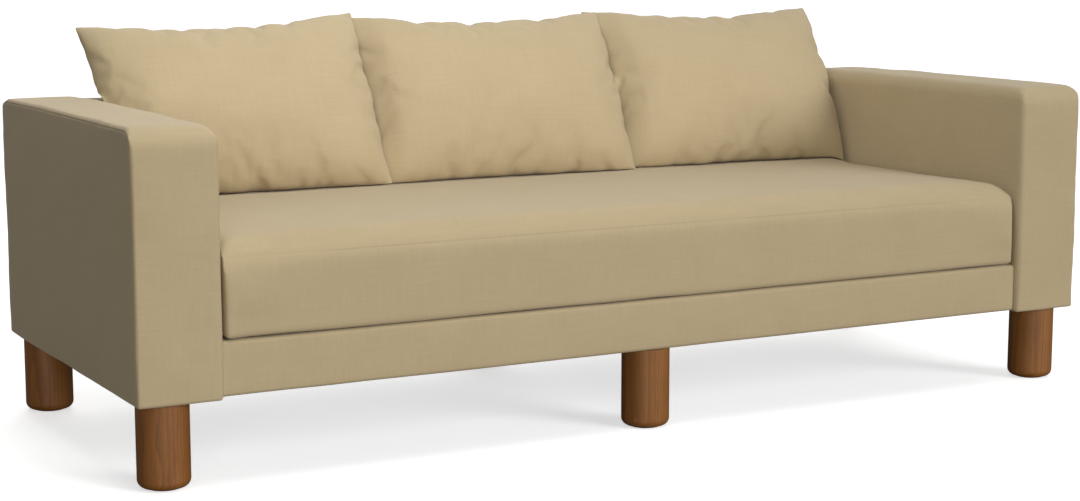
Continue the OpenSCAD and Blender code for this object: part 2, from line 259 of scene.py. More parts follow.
# %% [markdown]
# ## The sofa's cloth
#
# The cover is a flat-woven khaki cloth of cotton and linen kind. Such cloth is matt, with
# a faint bloom of loose fibre that catches light at grazing angles. Sheen on the
# Principled shader gives the bloom, and the weave group gives the threads. Its warp and
# weft differ slightly in colour, so the weave also shows as colour, not only as bumps.

# %% Cloth material
CLOTH_DARK = (0.420, 0.332, 0.194, 1)
CLOTH_LIGHT = (0.474, 0.378, 0.228, 1)
THREAD_HEIGHT = 0.0006


def make_cloth(name, dark, light, bump=0.45, threads=THREADS_PER_METRE):
    """A woven cloth whose threads follow the UV map called cloth."""
    material = bpy.data.materials.new(name)
    material.use_nodes = True
    w = Wiring(material.node_tree)
    shader = material.node_tree.nodes["Principled BSDF"]
    shader.inputs["Roughness"].default_value = 0.9
    shader.inputs["Sheen Weight"].default_value = 0.12
    shader.inputs["Sheen Roughness"].default_value = 0.5
    shader.inputs["Specular IOR Level"].default_value = 0.25
    uv = w.node("ShaderNodeUVMap", uv_map="cloth")
    weave = w.node("ShaderNodeGroup", node_tree=weave_group)
    w.join(uv.outputs[0], weave.inputs["Cloth"])
    weave.inputs["Threads per metre"].default_value = threads
    colour = w.mix(weave.outputs["Shade"], dark, light)
    w.join(colour, shader.inputs["Base Color"])
    bumps = w.node("ShaderNodeBump")
    bumps.inputs["Strength"].default_value = bump
    bumps.inputs["Distance"].default_value = THREAD_HEIGHT
    w.join(weave.outputs["Height"], bumps.inputs["Height"])
    w.join(bumps.outputs[0], shader.inputs["Normal"])
    return material


cloth = make_cloth("khaki_cloth", CLOTH_DARK, CLOTH_LIGHT)
print("material", cloth.name)

# %% [markdown]
# ## Wood for the legs
#
# The legs are turned from solid wood in a warm brown with a satin lacquer. On a turned
# post the yearly rings show as long upright stripes, because the surface cuts them
# lengthways, with short dark pores between. The rings are made as circles round a pith
# that lies outside the post, bent a little by noise, and stretched along the post. Each
# leg gets its own material, whose Mapping node centres the pattern on that leg.

# %% Wood grain group
RINGS_PER_METRE = 190.0


def build_grain_group():
    """Year rings and pores of a post whose axis is upright."""
    group, given, made = new_group(
        "turned_grain",
        [
            ("Place", "NodeSocketVector", None),
            ("Rings per metre", "NodeSocketFloat", RINGS_PER_METRE),
        ],
        [
            ("Rings", "NodeSocketFloat"),
            ("Pores", "NodeSocketFloat"),
            ("Cloud", "NodeSocketFloat"),
        ],
    )
    w = Wiring(group)
    place = given.outputs["Place"]
    bend = w.noise(w.scaled(place, (1.0, 1.0, 0.25)), 7.0, 3.0, 0.5)
    flat = w.scaled(place, (1.0, 1.0, 0.04))
    length = w.node("ShaderNodeVectorMath", operation="LENGTH")
    w.join(flat, length.inputs[0])
    wandering = w.math("ADD", length.outputs["Value"], w.math("MULTIPLY", bend, 0.035))
    turns = w.math("MULTIPLY", wandering, given.outputs["Rings per metre"])
    ring = w.math("FRACT", turns)
    w.join(w.math("POWER", ring, 1.6), made.inputs["Rings"])
    pores = w.noise(w.scaled(place, (900.0, 900.0, 24.0)), 1.0, 2.0, 0.5)
    w.join(w.span(pores, 0.56, 0.70), made.inputs["Pores"])
    cloud = w.noise(w.scaled(place, (22.0, 22.0, 3.0)), 1.0, 3.0, 0.6)
    w.join(cloud, made.inputs["Cloud"])
    return group


grain_group = build_grain_group()
print("node group", grain_group.name)


# %% Wood material
def make_wood(name, colours, centre, rings=RINGS_PER_METRE, roughness=0.55, coat=0.05):
    """Lacquered wood; centre is the place of the pith that the rings go round."""
    dark, middle, light = colours
    material = bpy.data.materials.new(name)
    material.use_nodes = True
    w = Wiring(material.node_tree)
    shader = material.node_tree.nodes["Principled BSDF"]
    place = w.node("ShaderNodeTexCoord")
    centred = w.node("ShaderNodeMapping")
    centred.inputs["Location"].default_value = [-value for value in centre]
    w.join(place.outputs["Object"], centred.inputs["Vector"])
    grain = w.node("ShaderNodeGroup", node_tree=grain_group)
    w.join(centred.outputs[0], grain.inputs["Place"])
    grain.inputs["Rings per metre"].default_value = rings
    tint = w.mix(w.span(grain.outputs["Cloud"], 0.3, 0.7), middle, light)
    ringed = w.mix(w.math("MULTIPLY", grain.outputs["Rings"], 0.45), tint, dark)
    pored = w.mix(w.math("MULTIPLY", grain.outputs["Pores"], 0.45), ringed, dark)
    w.join(pored, shader.inputs["Base Color"])
    rough = w.math("MULTIPLY_ADD", grain.outputs["Pores"], 0.2, roughness)
    w.join(rough, shader.inputs["Roughness"])
    shader.inputs["Coat Weight"].default_value = coat
    shader.inputs["Coat Roughness"].default_value = 0.25
    bumps = w.node("ShaderNodeBump")
    bumps.inputs["Strength"].default_value = 0.25
    bumps.inputs["Distance"].default_value = 0.0004
    w.join(w.math("MULTIPLY", grain.outputs["Pores"], -1.0), bumps.inputs["Height"])
    w.join(bumps.outputs[0], shader.inputs["Normal"])
    return material


# Dark, middle and light tones of each wood
LEG_WOOD = ((0.100, 0.034, 0.004, 1), (0.215, 0.075, 0.009, 1), (0.310, 0.120, 0.020, 1))
PINE = ((0.42, 0.25, 0.11, 1), (0.66, 0.47, 0.26, 1), (0.74, 0.56, 0.34, 1))

# %% [markdown]
# ## Legs
#
# A leg is a plain round post, turned on a lathe, with its lower edge rounded over and its
# foot hollowed for a felt glide. Spinning half of the outline round the post's axis is
# the same thing as turning it, so that is how it is made. The outline has only the points
# that the shape needs, and the rounded edge is an arc.

# %% Turn a leg
FOOT_RADIUS = 0.015
TOP_CHAMFER = 0.0015
GLIDE_POCKET = 0.0302
PITH_OFFSET = (0.07, 0.05)
PITH_STEP = 0.4
SPIN_STEPS = 96
ARC_STEPS = 7


def leg_outline(radius, foot, top, glide_radius, glide_top):
    """Half of the leg's section, as (distance from the axis, height)."""
    outline = [(0, glide_top), (glide_radius, glide_top), (glide_radius, foot)]
    for step in range(ARC_STEPS + 1):
        angle = math.radians(90 * step / ARC_STEPS)
        outline.append((
            radius - FOOT_RADIUS + FOOT_RADIUS * math.sin(angle),
            foot + FOOT_RADIUS - FOOT_RADIUS * math.cos(angle),
        ))
    outline += [(radius, top - TOP_CHAMFER), (radius - TOP_CHAMFER, top), (0, top)]
    return outline


def turn_leg(outline, centre):
    """Spins the outline round an upright axis through centre."""
    bm = bmesh.new()
    points = [bm.verts.new((centre.x + r, centre.y, z)) for r, z in outline]
    edges = [bm.edges.new(pair) for pair in zip(points, points[1:])]
    bmesh.ops.spin(
        bm, geom=points + edges, cent=(centre.x, centre.y, 0), axis=(0, 0, 1),
        angle=math.tau, steps=SPIN_STEPS, use_merge=True,
    )
    bmesh.ops.remove_doubles(bm, verts=bm.verts[:], dist=1e-6)
    bmesh.ops.recalc_face_normals(bm, faces=bm.faces[:])
    return bm


glide_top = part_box("leg_glides")[1][2]
for end in ("front", "rear"):
    for side in ("left", "middle", "right"):
        node = f"leg_{end}_{side}"
        low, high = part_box(node)
        centre = (Vector(low) + Vector(high)) / 2
        radius = (high[0] - low[0]) / 2
        outline = leg_outline(radius, low[2], high[2], GLIDE_POCKET, glide_top)
        pith = (centre.x + PITH_OFFSET[0], centre.y + PITH_OFFSET[1], PITH_STEP * len(PIECES))
        wood = make_wood(f"leg_wood_{end}_{side}", LEG_WOOD, pith)
        turned = turn_leg(outline, centre)
        leg = finish_piece(f"{node}_turned", turned, wood, "frame", [node])
        shading = leg.modifiers.new("shade_edges", "WEIGHTED_NORMAL")
        shading.keep_sharp = True

# %% [markdown]
# ## Boxes with soft corners
#
# The arms, the back, the rail and the bench cushion are all boxes of foam under cloth.
# A bevel on a plain cube gives one radius everywhere, but here every edge has its own:
# the seat side of an arm is fuller than its outside. So a cube is cut into a grid by
# planes, and then each corner of its section is rounded by a formula that bends a square
# corner into a quarter circle. The grid also gives places to sew seams.

# %% Cut a box into a grid
# Distances of the cuts from an edge, and the share of a side that they may reach
EDGE_STEPS = (0.0022, 0.0044, 0.0060, 0.0076, 0.0110, 0.017, 0.025, 0.035, 0.047, 0.062)
LONGEST_EDGE_STEP = 0.45


def grid_cuts(low, high, spacing, steps):
    """Where to cut one side of a box: close together near its ends, even between."""
    longest = (high - low) * LONGEST_EDGE_STEP
    near = [low + step for step in steps if step < longest]
    far = [high - step for step in steps if step < longest]
    start, stop = near[-1], far[-1]
    count = max(1, round((stop - start) / spacing))
    even = [start + (stop - start) * i / count for i in range(1, count)]
    return sorted(set(near + even + far))


def grid_box(low, high, spacing, steps=EDGE_STEPS):
    """A box cut by planes, with a UV map of its faces in metres."""
    bm = bmesh.new()
    bmesh.ops.create_cube(bm, size=1.0)
    size = Vector(high) - Vector(low)
    bmesh.ops.scale(bm, vec=size, verts=bm.verts[:])
    bmesh.ops.translate(bm, vec=Vector(low) + size / 2, verts=bm.verts[:])
    for axis in (1, 2, 0):
        normal = Vector([float(axis == i) for i in range(3)])
        for cut in grid_cuts(low[axis], high[axis], spacing, steps):
            bmesh.ops.bisect_plane(
                bm, geom=bm.verts[:] + bm.edges[:] + bm.faces[:],
                plane_co=normal * cut, plane_no=normal, dist=1e-6,
            )
    lay_cloth(bm)
    return bm


def lay_cloth(bm):
    """Gives each face the two coordinates that it lies along, as cloth coordinates."""
    layer = bm.loops.layers.uv.new("cloth")
    for face in bm.faces:
        normal = face.normal
        axis = max(range(3), key=lambda i: abs(normal[i]))
        across, up = ((1, 2), (0, 2), (0, 1))[axis]
        for loop in face.loops:
            loop[layer].uv = (loop.vert.co[across], loop.vert.co[up])


# %% Round a section's corners
def round_corner(bm, plane, corner, radius):
    """Bends a square corner of the section in that plane into a quarter circle."""
    first, second = plane
    for vert in bm.verts:
        offsets = []
        for axis, (edge, inward) in zip(plane, corner):
            offsets.append(1 - (vert.co[axis] - edge) * inward / radius)
        a, b = offsets
        if a > 0 and b > 0:
            a, b = min(a, 1.0), min(b, 1.0)
            new_a = a * math.sqrt(1 - b * b / 2)
            new_b = b * math.sqrt(1 - a * a / 2)
            (edge_a, in_a), (edge_b, in_b) = corner
            vert.co[first] = edge_a + (1 - new_a) * radius * in_a
            vert.co[second] = edge_b + (1 - new_b) * radius * in_b


def soften(bm, low, high, section_radii):
    """Rounds each section's corners: low-low, high-low, low-high, then high-high."""
    for plane, radii in section_radii.items():
        first, second = plane
        corners = [
            ((low[first], 1), (low[second], 1)), ((high[first], -1), (low[second], 1)),
            ((low[first], 1), (high[second], -1)), ((high[first], -1), (high[second], -1)),
        ]
        for corner, radius in zip(corners, radii):
            if radius:
                round_corner(bm, plane, corner, radius)


# %% Bulges, ripples and seams
BULGE_FROM, BULGE_OVER = 0.6, 0.4
SEAM_DEPTH = 0.0016
SINK_FROM, SINK_OVER = 0.45, 0.15


def bulge(bm, low, high, amounts):
    """Swells each side of a box; amounts are for -X, +X, -Y, +Y, -Z, +Z."""
    size = Vector(high) - Vector(low)
    for vert in bm.verts:
        share = [(vert.co[i] - low[i]) / size[i] * 2 - 1 for i in range(3)]
        fall = [max(0.0, 1 - value ** 4) for value in share]
        for axis in range(3):
            others = [fall[i] for i in range(3) if i != axis]
            side = 2 * axis + (1 if share[axis] > 0 else 0)
            sign = 1 if share[axis] > 0 else -1
            depth = max(0.0, abs(share[axis]) - BULGE_FROM) / BULGE_OVER
            vert.co[axis] += sign * amounts[side] * others[0] * others[1] * min(depth, 1.0)


def ripple(bm, size, wavelength, seed=0.0):
    """Moves every point a little along its normal, as foam under cloth is never flat."""
    bm.normal_update()
    for vert in bm.verts:
        place = vert.co / wavelength + Vector((seed, 2 * seed, 3 * seed))
        vert.co += vert.normal * size * noise.noise(place)


def sew(bm, seam):
    """Draws the seam's points in, along their normals."""
    bm.normal_update()
    for vert in seam:
        vert.co -= vert.normal * SEAM_DEPTH


def sink_top(bm, depth, share=lambda vert: 1.0):
    """Lowers the top of a box, and less and less what lies below it."""
    for vert in bm.verts:
        vert.co.z -= depth * share(vert) * ease((vert.co.z - SINK_FROM) / SINK_OVER)


print("edge steps in mm", [round(step * 1000, 1) for step in EDGE_STEPS])

# %% [markdown]
# ## Arms
#
# Each arm is a board box wrapped in foam and covered in one piece of cloth that runs up
# the front, over the top and down the back. The outer side is a flat panel sewn to it,
# so a seam runs round the outside of the arm, just inside its edge, and puckers the cloth
# beside it a little. The seat side has no seam and a fuller edge. The seam's points are
# chosen on the square grid, before its corners are rounded, because there they lie on
# straight lines.

# %% Arms
SEAM_INSET = 0.0060
SEAM_REACH = 0.0004
ON_PLANE = 1e-5
PUCKER_HEIGHT = 0.0013
PUCKER_LENGTH = 0.017
PUCKER_REACH = 0.016
PUCKER_DRAW = 0.15
ARM_CELL = 0.013
ARM_FALL = 0.003
ARM_FALL_FROM = 0.10
LOWER_EDGE = 0.006
INNER_TOP, OUTER_TOP = 0.028, 0.009
FRONT_TOP, REAR_TOP = 0.040, 0.045
INNER_FRONT, OUTER_FRONT = 0.012, 0.006
INNER_REAR, OUTER_REAR = 0.006, 0.020
OUTWARD, INWARD = 0.0045, 0.002


def seam_points(bm, side_x, low, high):
    """Points of the outer panel's seam, round its front, top and rear edges."""
    found = []
    for vert in bm.verts:
        if abs(vert.co.x - side_x) < ON_PLANE:
            inset = min(vert.co.y - low[1], high[1] - vert.co.y, high[2] - vert.co.z)
            if abs(inset - SEAM_INSET) < SEAM_REACH:
                found.append(vert)
    return found


def pucker(bm, seam):
    """Draws the cloth beside a seam into small waves that die out away from it."""
    bm.normal_update()
    tree = KDTree(len(seam))
    for number, vert in enumerate(seam):
        tree.insert(vert.co, number)
    tree.balance()
    for vert in bm.verts:
        distance = tree.find(vert.co)[2]
        wave = noise.noise(vert.co / PUCKER_LENGTH) - PUCKER_DRAW
        vert.co += vert.normal * PUCKER_HEIGHT * wave * math.exp(-distance / PUCKER_REACH)


def left_to_right(outer, inner, outer_first):
    """Orders an arm's outer and inner values from its left to its right."""
    return (outer, inner) if outer_first else (inner, outer)


def make_arm(side):
    """One upholstered arm; side is left or right."""
    low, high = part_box(f"arm_{side}_cover")
    outer_first = side == "left"
    outer_x = low[0] if outer_first else high[0]
    bm = grid_box(low, high, ARM_CELL)
    seam = seam_points(bm, outer_x, low, high)
    tops = left_to_right(OUTER_TOP, INNER_TOP, outer_first)
    fronts = left_to_right(OUTER_FRONT, INNER_FRONT, outer_first)
    rears = left_to_right(OUTER_REAR, INNER_REAR, outer_first)
    soften(bm, low, high, {
        (0, 2): (LOWER_EDGE, LOWER_EDGE, *tops),
        (1, 2): (LOWER_EDGE, LOWER_EDGE, FRONT_TOP, REAR_TOP),
        (0, 1): (*fronts, *rears),
    })
    sides = left_to_right(OUTWARD, INWARD, outer_first)
    bulge(bm, low, high, (*sides, 0.002, 0.003, 0.0, 0.002))
    length = high[1] - ARM_FALL_FROM
    sink_top(bm, ARM_FALL, lambda vert: ease((vert.co.y - ARM_FALL_FROM) / length))
    sew(bm, seam)
    pucker(bm, seam)
    ripple(bm, size=0.0016, wavelength=0.11, seed=3.0 if outer_first else 7.0)
    arm = finish_piece(
        f"arm_{side}_upholstery", bm, cloth, "frame",
        [f"arm_{side}_cover", f"arm_{side}_padding"],
    )
    subdivide(arm)


for side in ("left", "right"):
    make_arm(side)

# %% [markdown]
# ## Back
#
# The back fills the space between the arms and ends a little below their tops. Most of
# it hides behind the pillows, but from behind it is the largest surface of all. There a
# plain panel is sewn in, with its seam just under the top edge.

# %% Back
BACK_CELL = 0.022
BACK_FALL = 0.008
BACK_EDGE_RADIUS = 0.026


def make_back():
    low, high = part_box("back_cover")
    bm = grid_box(low, high, BACK_CELL)
    seam = [
        vert for vert in bm.verts
        if abs(vert.co.y - high[1]) < ON_PLANE
        and abs(high[2] - vert.co.z - SEAM_INSET) < SEAM_REACH
    ]
    soften(bm, low, high, {(1, 2): (0.004, 0.006, BACK_EDGE_RADIUS, 0.034)})
    bulge(bm, low, high, (0, 0, 0.004, 0.005, 0.0, 0.0))
    sink_top(bm, BACK_FALL)
    sew(bm, seam)
    ripple(bm, size=0.0016, wavelength=0.13, seed=5.0)
    back = finish_piece(
        "back_upholstery", bm, cloth, "frame", ["back_cover", "back_padding"],
    )
    subdivide(back)


make_back()

# %% [markdown]
# ## Seat base
#
# Under the bench cushion a strip of the same cloth, thinly padded, wraps the front rail.
# Behind it the deck cloth is stretched flat over the webbing, and a dark dust cloth
# closes the base from below. The strip is a soft box. The two cloths are flat, so a thin
# box is all that they need.

# %% Front rail, deck cloth and dust cloth
RAIL_CELL, RAIL_STEPS = 0.030, (0.002, 0.004, 0.008)
SHEET_CELL, SHEET_STEPS = 0.05, (0.0006,)


def make_rail():
    low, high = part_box("front_rail_cover")
    bm = grid_box(low, high, RAIL_CELL, RAIL_STEPS)
    soften(bm, low, high, {(1, 2): (RAIL_STEPS[-1], 0.0, RAIL_STEPS[-1], 0.0)})
    bulge(bm, low, high, (0, 0, 0.0015, 0, 0, 0))
    ripple(bm, size=0.0008, wavelength=0.12, seed=9.0)
    rail = finish_piece(
        "front_rail_upholstery", bm, cloth, "frame",
        ["front_rail_cover", "front_rail_padding"],
    )
    subdivide(rail)


def make_flat_cloth(name, node, material):
    """A stretched cloth as thick as its CAD node."""
    low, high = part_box(node)
    bm = grid_box(low, high, SHEET_CELL, SHEET_STEPS)
    sheet = finish_piece(name, bm, material, "frame", [node])


cambric = make_cloth(
    "dust_cloth", (0.012, 0.012, 0.014, 1), (0.03, 0.03, 0.034, 1), bump=0.3, threads=900.0,
)
make_rail()
make_flat_cloth(
    "deck_cloth", "deck_cover", cloth,
)
make_flat_cloth(
    "dust_cloth", "dust_cover", cambric,
)

# %% [markdown]
# ## Stuffing things with the cloth solver
#
# A cushion gets its look from air or foam that pushes outwards against cloth that won't
# stretch. The cloth gathers along the seams, and that is hard to draw by hand. Blender's
# cloth solver does it: a flat envelope is given pressure from inside, gravity is turned
# off, and the result is kept as the mesh.

# %% Cloth solver
SOLVER_FRAMES = 14


def face_outwards(bm):
    """Recalculates the normals of a closed shape and makes sure that they point out."""
    bmesh.ops.recalc_face_normals(bm, faces=bm.faces[:])
    if bm.calc_volume(signed=True) < 0:
        bmesh.ops.reverse_faces(bm, faces=bm.faces[:])


def set_cloth(settings, pressure, stiffness, bending):
    """Cloth that stretches a little and is blown up from inside, with no gravity."""
    settings.quality = 6
    settings.mass = 0.25
    settings.tension_stiffness = settings.compression_stiffness = stiffness
    settings.shear_stiffness = stiffness * 0.3
    settings.bending_stiffness = bending
    settings.tension_damping = settings.compression_damping = 6
    settings.air_damping = 3
    settings.use_pressure = True
    settings.uniform_pressure_force = pressure
    settings.effector_weights.gravity = 0


def inflate(bm, pressure, stiffness, bending, seam=(), gather=0.0):
    """Runs the cloth solver on a closed shape; seam points are gathered by that share."""
    mesh = bpy.data.meshes.new("stuffing")
    bm.to_mesh(mesh)
    bm.free()
    stuffed = bpy.data.objects.new("stuffing", mesh)
    bpy.context.collection.objects.link(stuffed)
    solver = stuffed.modifiers.new("cloth", "CLOTH")
    set_cloth(solver.settings, pressure, stiffness, bending)
    if seam:
        stuffed.vertex_groups.new(name="seam").add(list(seam), 1.0, "REPLACE")
        solver.settings.vertex_group_shrink = "seam"
        solver.settings.shrink_min = 0.0
        solver.settings.shrink_max = gather
    solver.point_cache.frame_start = 1
    solver.point_cache.frame_end = SOLVER_FRAMES
    for number in range(1, SOLVER_FRAMES + 1):
        bpy.context.scene.frame_set(number)
    graph = bpy.context.evaluated_depsgraph_get()
    swollen = bpy.data.meshes.new_from_object(stuffed.evaluated_get(graph))
    result = bmesh.new()
    result.from_mesh(swollen)
    bpy.data.objects.remove(stuffed)
    bpy.data.meshes.remove(mesh)
    bpy.data.meshes.remove(swollen)
    bpy.context.scene.frame_set(1)
    return result


# %% [markdown]
# ## Bench cushion
#
# One long boxed cushion fills the whole seat. Its foam is firm, so it keeps its shape: a
# full, round front edge, a flat underside where it lies on the deck, and a top that is a
# little higher in the middle than at the arms. The top cloth runs over the front edge and
# is sewn to a band there, which shows as one fine line along the front.

# %% Bench cushion
BENCH_CELL, BENCH_STEPS = 0.026, (0.007, 0.015, 0.026, 0.040, 0.054)
BENCH_RADII = {
    (1, 2): (0.009, 0.012, 0.062, 0.030),
    (0, 2): (0.010, 0.010, 0.024, 0.024),
    (0, 1): (0.009, 0.009, 0.016, 0.016),
}
BENCH_SEAM_HEIGHT = 0.408
BENCH_SEAM_DEPTH = 0.0010
BENCH_SEAM_WIDTH = 0.0022
BENCH_SWELL = 0.006
CROWN_RISE, CROWN_FALL, END_FALL = 0.0045, 0.0105, 0.004
CROWN_TOP = 0.005
ENDS_FROM, ENDS_OVER = 0.72, 0.28
PILLOW_LINE, PILLOW_LINE_OVER = 0.14, 0.06
SIDE_SPARE = 0.0005


def hold_back(bm, rest, cap):
    """Limits how far each point has moved from its place at rest."""
    for vert, start in zip(bm.verts, rest):
        moved = vert.co - start
        if moved.length > cap:
            vert.co = start + moved * (cap / moved.length)


def groove(bm, height, depth):
    """Sews a level seam round a cushion: three cuts, with the middle one drawn in."""
    up = Vector((0, 0, 1))
    for offset in (-BENCH_SEAM_WIDTH, 0, BENCH_SEAM_WIDTH):
        bmesh.ops.bisect_plane(
            bm, geom=bm.verts[:] + bm.edges[:] + bm.faces[:],
            plane_co=up * (height + offset), plane_no=up, dist=1e-6,
        )
    bm.normal_update()
    for vert in bm.verts:
        if abs(vert.co.z - height) < ON_PLANE:
            vert.co -= Vector((vert.normal.x, vert.normal.y, 0)) * depth


def crown(bm, low, high):
    """Raises the cushion's middle in front of the pillows and lowers its ends."""
    half_width = (high[0] - low[0]) / 2
    for vert in bm.verts:
        rise = ease((vert.co.z - low[2]) / (high[2] - low[2]))
        end = ease((abs(vert.co.x) / half_width - ENDS_FROM) / ENDS_OVER)
        in_front = 1 - ease((vert.co.y - PILLOW_LINE) / PILLOW_LINE_OVER)
        swell = rise * (CROWN_RISE - CROWN_FALL * end) * in_front
        vert.co.z += swell - END_FALL * rise * end
        vert.co.z = max(vert.co.z, low[2])
        vert.co.z = min(vert.co.z, high[2] + CROWN_TOP * in_front)
        vert.co.x = min(max(vert.co.x, low[0] - SIDE_SPARE), high[0] + SIDE_SPARE)
        vert.co.y = min(vert.co.y, high[1])


def make_bench():
    """Makes the bench cushion and returns its surface, for things that stand on it."""
    low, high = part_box("bench_cover")
    bm = grid_box(low, high, BENCH_CELL, BENCH_STEPS)
    soften(bm, low, high, BENCH_RADII)
    rest = [vert.co.copy() for vert in bm.verts]
    bm = inflate(bm, pressure=1.4, stiffness=40.0, bending=4.0)
    hold_back(bm, rest, BENCH_SWELL)
    crown(bm, low, high)
    groove(bm, BENCH_SEAM_HEIGHT, BENCH_SEAM_DEPTH)
    ripple(bm, size=0.0012, wavelength=0.16, seed=2.0)
    surface = BVHTree.FromBMesh(bm)
    bench = finish_piece(
        "bench_cushion", bm, cloth, "bench_cushion",
        ["bench_cover", "bench_core"],
    )
    subdivide(bench)
    return surface


seat = make_bench()

# %% [markdown]
# ## Back pillows
#
# A knife-edge pillow is two flat panels sewn together all round and filled with fibre.
# When it is stuffed, its seams gather in short folds, its sides draw in between the
# corners, and the corners stay behind as soft ears. The solver makes those folds. It is
# given two panels that are already a little swollen, with seam threads that shorten, and
# the finished pillow lies part of the way between the sewn panels and the solver's tight
# result, because fibre filling is softer than air.

# %% Two sewn panels
PANEL_CELL = 0.0085
PILLOW_HEIGHT = 0.420
FRONT_SWELL = 0.080
REAR_SWELL = 0.046
SIDE_DRAW = 0.006
TOP_DRAW = 0.005
CROWN_POWER = 0.62
UNEVENNESS = 0.0015
SEAM_PLANE = 1e-4


def sewn_panels(width, seed):
    """Two panels joined at their edges: X across, Z up, the front towards -Y."""
    bm = bmesh.new()
    columns, rows = round(width / PANEL_CELL), round(PILLOW_HEIGHT / PANEL_CELL)
    bmesh.ops.create_grid(bm, x_segments=columns, y_segments=rows, size=0.5)
    layer = bm.loops.layers.uv.new("cloth")
    for face in bm.faces:
        for loop in face.loops:
            x, y, _ = loop.vert.co
            loop[layer].uv = (x * width + seed, y * PILLOW_HEIGHT + 2 * seed)
    stand_up = Matrix.Rotation(math.pi / 2, 4, "X")
    bmesh.ops.transform(bm, matrix=stand_up, verts=bm.verts[:])
    copied = bmesh.ops.duplicate(bm, geom=bm.verts[:] + bm.edges[:] + bm.faces[:])["geom"]
    rear = {item for item in copied if isinstance(item, bmesh.types.BMVert)}
    for vert in bm.verts:
        u, v = vert.co.x * 2, vert.co.z * 2
        fullness = max(0.0, (1 - u ** 4) * (1 - v ** 4)) ** CROWN_POWER
        uneven = UNEVENNESS * fullness * noise.noise(Vector((u * 7, v * 5, seed)))
        vert.co.x = u * width / 2 - SIDE_DRAW * u * (1 - v * v)
        vert.co.z = v * PILLOW_HEIGHT / 2 - TOP_DRAW * v * (1 - u * u)
        vert.co.y = fullness * (REAR_SWELL if vert in rear else -FRONT_SWELL) + uneven
    bmesh.ops.remove_doubles(bm, verts=bm.verts[:], dist=1e-5)
    face_outwards(bm)
    return bm


def seam_numbers(bm):
    """Numbers of the points where the front panel meets the rear one."""
    bm.verts.index_update()
    numbers = []
    for vert in bm.verts:
        sides = [face.calc_center_median().y - vert.co.y for face in vert.link_faces]
        between = min(sides) < -ON_PLANE and max(sides) > ON_PLANE
        if between and abs(vert.co.y) < SEAM_PLANE:
            numbers.append(vert.index)
    return numbers


# %% Stuff a pillow
FIRMNESS = 0.60
TIGHT_FRONT, TIGHT_REAR = 0.092, 0.056
SQUARENESS = 0.5
BAND = 0.02
SIT_REACH = 0.15
END_REACH = 0.075


def extent(bm):
    """Lowest and highest corner of a bmesh."""
    low = Vector([min(vert.co[i] for vert in bm.verts) for i in range(3)])
    high = Vector([max(vert.co[i] for vert in bm.verts) for i in range(3)])
    return low, high


def stuff(bm, width):
    """Stuffs sewn panels, keeps the pillow's outer size and stands it on its lower edge."""
    sewn = [vert.co.copy() for vert in bm.verts]
    bm = inflate(
        bm, pressure=8.0, stiffness=15.0, bending=0.2, seam=seam_numbers(bm), gather=0.05,
    )
    low, high = extent(bm)
    centre = (low + high) / 2
    for vert, start in zip(bm.verts, sewn):
        tight = vert.co - centre
        tight.x *= width / (high.x - low.x)
        tight.z *= PILLOW_HEIGHT / (high.z - low.z)
        depth = TIGHT_FRONT if tight.y < 0 else TIGHT_REAR
        tight.y *= 2 * depth / (high.y - low.y)
        vert.co = start.lerp(tight, FIRMNESS)
    bmesh.ops.translate(bm, vec=(0, 0, PILLOW_HEIGHT / 2), verts=bm.verts[:])
    square_up(bm, width, SQUARENESS)
    sit_down(bm)
    return bm


def sit_down(bm):
    """Lowers the drawn-up middle of the lower seam, because the pillow stands on it."""
    floor_at = {}
    for vert in bm.verts:
        column = round(vert.co.x / BAND)
        floor_at[column] = min(floor_at.get(column, 1.0), vert.co.z)
    for vert in bm.verts:
        place = vert.co.x / BAND
        left = math.floor(place)
        share = place - left
        under = floor_at.get(left, 0.0) * (1 - share) + floor_at.get(left + 1, 0.0) * share
        vert.co.z -= under * ease(1 - vert.co.z / SIT_REACH)


def square_up(bm, width, share):
    """Takes back part of the draw-in of the side seams, height by height."""
    reach_at = {}
    for vert in bm.verts:
        row = (round(vert.co.z / BAND), vert.co.x > 0)
        reach_at[row] = max(reach_at.get(row, 0.0), abs(vert.co.x))
    for vert in bm.verts:
        place = vert.co.z / BAND
        below = math.floor(place)
        part = place - below
        side = vert.co.x > 0
        reaches = [reach_at.get((row, side), width / 2) for row in (below, below + 1)]
        reach = reaches[0] * (1 - part) + reaches[1] * part
        vert.co.x *= 1 + share * (width / 2 - reach) / reach


def thin_end(bm, width, end, front, share):
    """Flattens one end's front or rear panel, where it lies against the next pillow."""
    for vert in bm.verts:
        inside = width / 2 - end * vert.co.x
        if (vert.co.y < 0) == front and inside < END_REACH:
            vert.co.y *= share + (1 - share) * ease(inside / END_REACH)


# %% [markdown]
# ## Where the pillows lie
#
# The pillows stand on the bench cushion and lean on the back, and above the back's top
# edge they flop over it a little. So each one is bent along a curve that leans more from
# the back's top edge upwards. They overlap like shingles, each with its right end in front
# of the next one's left end. Whatever would pass into the back, the seat, an arm or a
# neighbour is then pushed out, just as it is squeezed on a real sofa.

# %% Lean over the back
LEAN_LOW = math.radians(22)
LEAN_HIGH = math.radians(38)
BEND_START, BEND_END = 0.15, 0.27
CURVE_STEP = 0.004


def lean_curve(height):
    """Place (y, z) and lean of the pillow's middle at a height along it."""
    y = z = travelled = 0.0
    while True:
        lean = LEAN_LOW + (LEAN_HIGH - LEAN_LOW) * ease(
            (travelled - BEND_START) / (BEND_END - BEND_START))
        step = min(CURVE_STEP, height - travelled)
        if step <= 0:
            return y, z + min(0.0, height), lean
        y += step * math.sin(lean)
        z += step * math.cos(lean)
        travelled += step


def lean_over(bm):
    for vert in bm.verts:
        y, z, lean = lean_curve(vert.co.z)
        depth = vert.co.y
        vert.co.y = y + depth * math.cos(lean)
        vert.co.z = z - depth * math.sin(lean)


